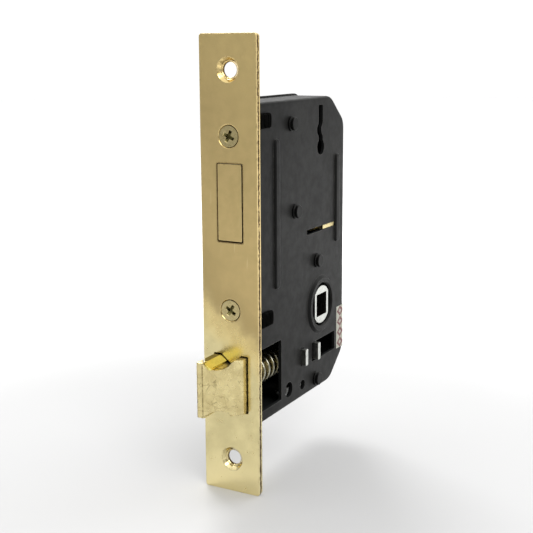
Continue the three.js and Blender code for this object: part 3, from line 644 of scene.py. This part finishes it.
def plated(
    name, dark, light, rough, grain, square_bore=False, shaded_front=False, recess=None, bush_z=None
):
    """Plated or turned metal: mottled, with fine lines along the grain and bright edges.

    A square bore has dark brown walls, painted shade, where the follower has its square. With a
    shaded front, the surfaces that look towards the forend get painted shade. A recess is the Y behind
    which a screw's cross recess is darkened by tarnish and painted shade. A bush whose middle is at
    bush_z gets painted shade, black, in its hole, apart from painted glints low on its end.
    """
    g = Graph(name)
    mottle = g.noise(0.6, 5, 0.6)
    colour = g.mix(g.reach(mottle, 0.3, 0.7), dark, light)
    grime_and_shade = g.reach(g.noise(1.1, 4, 0.7), 0.62, 0.76)
    colour = g.tint(colour, grime_and_shade, tuple(0.4 * c for c in dark), 0.35)
    colour = g.tint(colour, g.edges(0.25), tuple(min(1, 1.2 * c) for c in light), 0.5)
    # Painted shade on the walls of the follower's square bore.
    if square_bore:
        off_middle = g.math("MAXIMUM", g.off("Y", SQUARE_Y), g.off("Z", SQUARE_Z))
        walls = g.reach(off_middle, SQUARE_HALF + 0.12, SQUARE_HALF + 0.04)
        along_bore = g.reach(g.size(g.facing("X")), 0.6, 0.3)
        colour = g.mix(g.product(walls, along_bore), colour, STEEL_SHADE_AND_TARNISH["bore"])
    # Painted shade on surfaces that look towards the forend.
    if shaded_front:
        colour = g.tint(colour, g.reach(g.facing("Y"), -0.5, -0.8), STEEL_SHADE_AND_TARNISH["front"], 0.8)
    # Painted shade, black, in a bush's hole, with painted glints low on its end.
    if bush_z is not None:
        glint = g.reach(g.noise(0.7, 3), 0.42, 0.56, 0.3, -0.9)
        deep = g.reach(g.math("SUBTRACT", g.axis("X"), glint), BUSH_DEEP_X, BUSH_DEEP_X - 0.5)
        upper = g.reach(g.axis("Z"), bush_z - 0.4, bush_z + 0.1)
        colour = g.mix(g.math("MAXIMUM", deep, upper), colour, STEEL_SHADE_AND_TARNISH["hole_shade"])
    # Tarnish and painted shade in a screw's cross recess.
    if recess is not None:
        tarnish_and_shade = g.reach(g.axis("Y"), recess, recess + 0.35)
        colour = g.tint(colour, tarnish_and_shade, STEEL_SHADE_AND_TARNISH["recess"], 0.85)
    g.set("Base Color", colour)
    g.set("Metallic", 1.0)
    g.set("Roughness", g.reach(mottle, 0.3, 0.7, rough, rough + 0.14))
    g.bump(g.noise(4, 3, 0.6, stretch=grain), 0.006, 0.5)
    return g.material


LABEL = {"paper": ((0.36, 0.36, 0.30), (0.46, 0.46, 0.39)), "ink": (0.13, 0.012, 0.025), "marks": 4}


def label_paper():
    """A matt grey sticker with a column of plain red diamond rings and worn ink."""
    g = Graph("label_paper")
    low, high = box_mm("blank_label")
    column_y = (low.y + CAD_BOX[1].y / MM) / 2 - 0.3
    pitch = (high.z - low.z) / LABEL["marks"]
    along = g.math("MODULO", g.math("ADD", g.axis("Z"), -low.z), pitch)
    off_centre = g.size(g.math("SUBTRACT", along, pitch / 2))
    diamond = g.math("ADD", off_centre, g.product(g.off("Y", column_y), 0.8))
    ring = g.product(g.reach(diamond, 2.3, 2.1), g.reach(diamond, 0.8, 1.0))
    ink_left = g.reach(g.noise(1.6, 4), 0.35, 0.6, 0.55, 0.95)
    fibre = g.noise(2.5, 4, 0.6)
    paper = g.mix(g.reach(fibre, 0.3, 0.7), *LABEL["paper"])
    g.set("Base Color", g.tint(paper, ring, LABEL["ink"], ink_left))
    g.set("Roughness", g.reach(fibre, 0.3, 0.7, 0.6, 0.8))
    g.bump(fibre, 0.02, 0.4)
    return g.material


FLOOR = {
    "near": ((0.50, 0.50, 0.50), (0.53, 0.53, 0.53)),
    "far": ((0.93, 0.93, 0.93), (0.95, 0.95, 0.95)),
    "front": (0.44, 0.44, 0.44),
}


def pale_floor():
    """Matt white card, greyer near the lock and in front of it, where satin plates mirror it."""
    g = Graph("pale_floor")
    grain = g.noise(0.02, 3)
    square_x = g.math("POWER", g.axis("X"), 2.0)
    square_y = g.math("POWER", g.axis("Y"), 2.0)
    distance = g.math("SQRT", g.math("ADD", square_x, square_y))
    near = g.mix(grain, *FLOOR["near"])
    far = g.mix(grain, *FLOOR["far"])
    card = g.mix(g.reach(distance, 130, 380), near, far)
    g.set("Base Color", g.mix(g.reach(g.axis("Y"), -90, -290), card, FLOOR["front"]))
    g.set("Roughness", g.reach(grain, 0.3, 0.7, 0.7, 0.8))
    return g.material


# A plated piece's fine lines are drawn out along the axis whose number is small.
ALONG_Z, ALONG_X, NO_GRAIN = (1, 1, 0.1), (0.1, 1, 1), (1, 1, 1)

MATERIALS = {
    "satin_brass": satin_brass("satin_brass"),
    "cast_brass": cast_brass("cast_brass"),
    "polished_brass": polished_brass(),
    "black_paint": black_paint("black_paint", front_shade_strength=0.6),
    "zinc": plated(
        "zinc", (0.50, 0.51, 0.48), (0.68, 0.69, 0.65), 0.26, ALONG_Z, square_bore=True, shaded_front=True
    ),
    "spring_steel": plated("spring_steel", (0.30, 0.29, 0.22), (0.46, 0.44, 0.35), 0.22, NO_GRAIN),
    "steel": plated("steel", (0.30, 0.30, 0.29), (0.48, 0.48, 0.46), 0.28, ALONG_X),
    "label_paper": label_paper(),
}
plate_brass = satin_brass("plate_brass", plate=True)
lug_black = black_paint("lug_black", tone=0.15, shine=0.0)
post_black = black_paint("post_black", tone=0.9, shine=0.1, front_shade_strength=1.0)
screw_brass = plated(
    "screw_brass", (0.50, 0.415, 0.20), (0.62, 0.52, 0.27), 0.24, NO_GRAIN, recess=RECESS_Y
)


def bush_steel(node):
    """Bright turned steel for the bush of that name, with painted shade in its hole and painted glints
    low on its end.
    """
    colours = (0.80, 0.81, 0.78), (0.95, 0.96, 0.93)
    return plated(f"{node}_steel", *colours, 0.40, ALONG_X, bush_z=middle(node).z)


OWN_FINISH = {
    "latch_bolt": cast_brass("latch_brass", LATCH_RIDGE_X),
    "faceplate": plate_brass,
    "forend": plate_brass,
    "faceplate_screw_upper": screw_brass,
    "faceplate_screw_lower": screw_brass,
    "latch_pin": screw_brass,
    "fixing_lug_upper": lug_black,
    "fixing_lug_lower": lug_black,
    "spacer_bush_large": bush_steel("spacer_bush_large"),
    "spacer_bush_small": bush_steel("spacer_bush_small"),
    "pillar_front_top": post_black,
    "lever_pivot_post": post_black,
    "hub_spring_post": post_black,
    "pillar_bottom": post_black,
}

# ---- CAD nodes: material, joined facets, small edge roundings and smooth shading ----------

SMOOTH_ANGLE = math.radians(32)
FLAT_ANGLE = math.radians(0.4)
# Facets closer than this, in millimetres, are joined.
JOIN_GAP = 0.002


def geometry_group(name):
    """An empty geometry node group, with its input and output nodes."""
    group = bpy.data.node_groups.new(name, "GeometryNodeTree")
    group.interface.new_socket("Geometry", in_out="INPUT", socket_type="NodeSocketGeometry")
    group.interface.new_socket("Geometry", in_out="OUTPUT", socket_type="NodeSocketGeometry")
    return group, group.nodes.new("NodeGroupInput"), group.nodes.new("NodeGroupOutput")


def joined_mesh_nodes():
    """A geometry node group that joins touching facets and drops their stored normals."""
    group, start, end = geometry_group("joined_facets")
    merge = group.nodes.new("GeometryNodeMergeByDistance")
    merge.inputs["Distance"].default_value = JOIN_GAP * MM
    drop = group.nodes.new("GeometryNodeRemoveAttribute")
    drop.inputs["Name"].default_value = "custom_normal"
    group.links.new(start.outputs[0], merge.inputs["Geometry"])
    group.links.new(merge.outputs["Geometry"], drop.inputs["Geometry"])
    group.links.new(drop.outputs["Geometry"], end.inputs[0])
    return group


def smooth_shading_nodes():
    """A geometry node group that shades smooth, with hard edges where faces turn sharply."""
    group, start, end = geometry_group("smooth_by_angle")
    angle = group.nodes.new("GeometryNodeInputMeshEdgeAngle")
    compare = group.nodes.new("FunctionNodeCompare")
    compare.operation = "LESS_EQUAL"
    compare.inputs[1].default_value = SMOOTH_ANGLE
    soft = group.nodes.new("GeometryNodeSetShadeSmooth")
    soft.domain = "EDGE"
    faces = group.nodes.new("GeometryNodeSetShadeSmooth")
    faces.domain = "FACE"
    group.links.new(angle.outputs["Unsigned Angle"], compare.inputs[0])
    group.links.new(start.outputs[0], faces.inputs["Geometry"])
    group.links.new(faces.outputs["Geometry"], soft.inputs["Geometry"])
    group.links.new(compare.outputs["Result"], soft.inputs["Shade Smooth"])
    group.links.new(soft.outputs["Geometry"], end.inputs[0])
    return group


JOINED = joined_mesh_nodes()
SMOOTHED = smooth_shading_nodes()


def shade(piece):
    """Smooth shading with hard edges, in which the larger faces stay flat."""
    piece.modifiers.new("smooth", "NODES").node_group = SMOOTHED
    weighted = piece.modifiers.new("weighted", "WEIGHTED_NORMAL")
    weighted.mode = "FACE_AREA"
    weighted.weight = 90
    weighted.keep_sharp = True


def dress(name, slot, rounding):
    """Gives a CAD node its material, and rounds its edges by that many millimetres."""
    piece = frame["nodes"][name]
    piece.data.materials.clear()
    piece.data.materials.append(OWN_FINISH.get(name, MATERIALS[slot]))
    piece.modifiers.new("joined", "NODES").node_group = JOINED
    if rounding:
        flats = piece.modifiers.new("flats", "DECIMATE")
        flats.decimate_type = "DISSOLVE"
        flats.angle_limit = FLAT_ANGLE
        bevel = piece.modifiers.new("bevel", "BEVEL")
        bevel.width = rounding * MM
        bevel.segments = 2
        bevel.limit_method = "ANGLE"
        bevel.angle_limit = SMOOTH_ANGLE
        bevel.use_clamp_overlap = False
    shade(piece)


# Edge roundings in millimetres, where they aren't the usual one.
USUAL_ROUNDING = 0.1
ROUNDING = {
    "faceplate": 0.12,
    "forend": 0.22,
    "case_shell": 0.0,
    "back_plate": 0.15,
    "latch_bolt": 0.3,
    "anti_friction_tongue": 0.12,
    "deadbolt": 0.15,
    "latch_bracket": 0.2,
    "latch_tail": 0.2,
    "follower_hub": 0.2,
    "blank_label": 0.0,
}
for row in frame["record"]["subparts"]:
    dress(row["node"], row["material_slot"], ROUNDING.get(row["node"], USUAL_ROUNDING))

# ---- springs: round wire and bowed leaves in place of the CAD's coarser ones --------------

SPRING_SLOT = "spring_steel"


def sweep(name, path, profile):
    """A closed spring steel bar whose cross-section follows a path of points in millimetres.

    The profile's first coordinate starts along X (or along Z where the path starts along X).
    """
    points = [Vector(p) for p in path]
    last = len(points) - 1
    tangents = [
        (points[min(i + 1, last)] - points[max(i - 1, 0)]).normalized() for i in range(last + 1)
    ]
    side = Vector((1, 0, 0)) if abs(tangents[0].x) < 0.9 else Vector((0, 0, 1))
    vertices = []
    for point, tangent in zip(points, tangents):
        side = (side - tangent * side.dot(tangent)).normalized()
        up = tangent.cross(side)
        vertices += [(point + side * u + up * v) * MM for u, v in profile]
    n = len(profile)
    faces = [tuple(range(n))[::-1], tuple(range(len(vertices) - n, len(vertices)))]
    for ring in range(last):
        for k in range(n):
            a, b = ring * n + k, ring * n + (k + 1) % n
            faces.append((a, b, b + n, a + n))
    mesh = bpy.data.meshes.new(name)
    mesh.from_pydata(vertices, [], faces)
    mesh.materials.append(MATERIALS[SPRING_SLOT])
    piece = bpy.data.objects.new(name, mesh)
    bpy.context.scene.collection.objects.link(piece)
    shade(piece)
    return piece


def circle(radius, sides=12):
    """A wire's profile."""
    angles = [2 * math.pi * k / sides for k in range(sides)]
    return [(radius * math.cos(angle), radius * math.sin(angle)) for angle in angles]


def coil_path(x, z, radius, wire, turns, y0, y1):
    """A compression spring's path along Y whose end turns are closed."""
    steps_per_turn = 32
    closed = 0.9
    lead = 2 * wire * closed * 1.02
    open_length = y1 - y0 - 2 * wire - 2 * lead
    path = []
    for i in range(round(turns * steps_per_turn) + 1):
        turn = i / steps_per_turn
        low, high = min(turn, closed), min(turns - turn, closed)
        open_part = (turn - low) / (turns - 2 * closed) if turn < turns - closed else 1.0
        y = y0 + wire + lead * low / closed + open_length * open_part
        y += lead * (1 - high / closed)
        angle = 2 * math.pi * turn
        path.append((x + radius * math.cos(angle), y, z + radius * math.sin(angle)))
    return path


def curve(points, steps=10):
    """A smooth path through the points."""
    path = []
    last = len(points) - 1
    for i in range(last):
        p0, p1, p2, p3 = (Vector(points[min(max(i + k, 0), last)]) for k in (-1, 0, 1, 2))
        straight, bend, twist = p2 - p0, 2 * p0 - 5 * p1 + 4 * p2 - p3, 3 * p1 - 3 * p2 + p3 - p0
        for step in range(steps):
            t = step / steps
            path.append(0.5 * (2 * p1 + straight * t + bend * t**2 + twist * t**3))
    path.append(Vector(points[-1]))
    return path


def straight_wire(start, end, steps=6):
    """Points from start towards end, without the end."""
    return [Vector(start).lerp(Vector(end), t / steps) for t in range(steps)]


def compression_spring(node, name, body, wire, turns):
    """A coil in the CAD spring's place, seated at its rear end.

    The wire's radius is in millimetres.
    """
    low, high = box_mm(node)
    centre = (low + high) / 2
    radius = (high.z - low.z) / 2 - wire
    end_gap = 0.02
    path = coil_path(centre.x, centre.z, radius, wire, turns, low.y + end_gap, high.y - end_gap)
    piece = sweep(name, path, circle(wire))
    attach(piece, body)
    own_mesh(piece)
    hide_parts(node)


def hub_torsion_spring():
    """Two and a half turns round the post, one leg on the anchor pin and one on the follower's ear."""
    post = middle("hub_spring_post")
    anchor = middle("spring_anchor_pin")
    low, high = box_mm("hub_spring")
    wire, radius, half_length, turns, steps_per_turn = 0.5, 3.55, 1.1, 2.5, 32
    steps = int(turns * steps_per_turn)
    coil = []
    for i in range(steps + 1):
        angle = -math.pi / 2 + 2 * math.pi * i / steps_per_turn
        x = half_length * (1 - 2 * i / steps)
        coil.append((x, post.y + radius * math.cos(angle), post.z + radius * math.sin(angle)))
    anchor_end = (half_length, anchor.y - 1.3, anchor.z + 2.0)
    ear_start = (-half_length, post.y + 1.4, post.z + radius + 0.4)
    ear_end = (-half_length, high.y - 0.4, low.z + 0.6)
    path = straight_wire(anchor_end, coil[0]) + coil + straight_wire(ear_start, ear_end) + [ear_end]
    piece = sweep("hub_torsion_wire", path, circle(wire))
    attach(piece, "case")
    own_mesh(piece)
    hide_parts("hub_spring")


def lever_leaf(i):
    """A bowed leaf from the front pillar down to the lever's shoulder."""
    node = f"lever_spring_{i}"
    low, high = box_mm(node)
    centre = (low + high) / 2
    half_width, half_thickness = (high.x - low.x) / 2, 0.2
    bow = [
        (centre.x, low.y + 0.2, low.z),
        (centre.x, centre.y + 1.2, low.z + 6),
        (centre.x, high.y - 0.6, centre.z),
        (centre.x, centre.y + 1.4, high.z - 6),
        (centre.x, low.y + 1.1, high.z),
    ]
    profile = [
        (-half_width, -half_thickness),
        (half_width, -half_thickness),
        (half_width, half_thickness),
        (-half_width, half_thickness),
    ]
    piece = sweep(f"lever_leaf_{i}", curve(bow), profile)
    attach(piece, "case")
    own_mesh(piece)
    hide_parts(node)


compression_spring(
    "latch_spring", "latch_coil", "case", wire=0.52, turns=9
)
compression_spring(
    "tongue_spring", "tongue_coil", "latch", wire=0.28, turns=4.5
)
hub_torsion_spring()
for number in (1, 2, 3):
    lever_leaf(number)

# ---- floor, camera and light -------------------------------------------------------------


def make_floor():
    """A round floor under the lock."""
    bpy.ops.mesh.primitive_circle_add(vertices=96, radius=3, fill_type="NGON")
    floor = bpy.context.object
    floor.name = "floor"
    floor.location.z = CAD_BOX[0].z
    floor.data.materials.append(pale_floor())


make_camera()
make_world()
for light_name, light_values in SOFTBOXES.items():
    softbox(light_name, **light_values)
make_floor()
bpy.context.scene.view_settings.view_transform = "Standard"
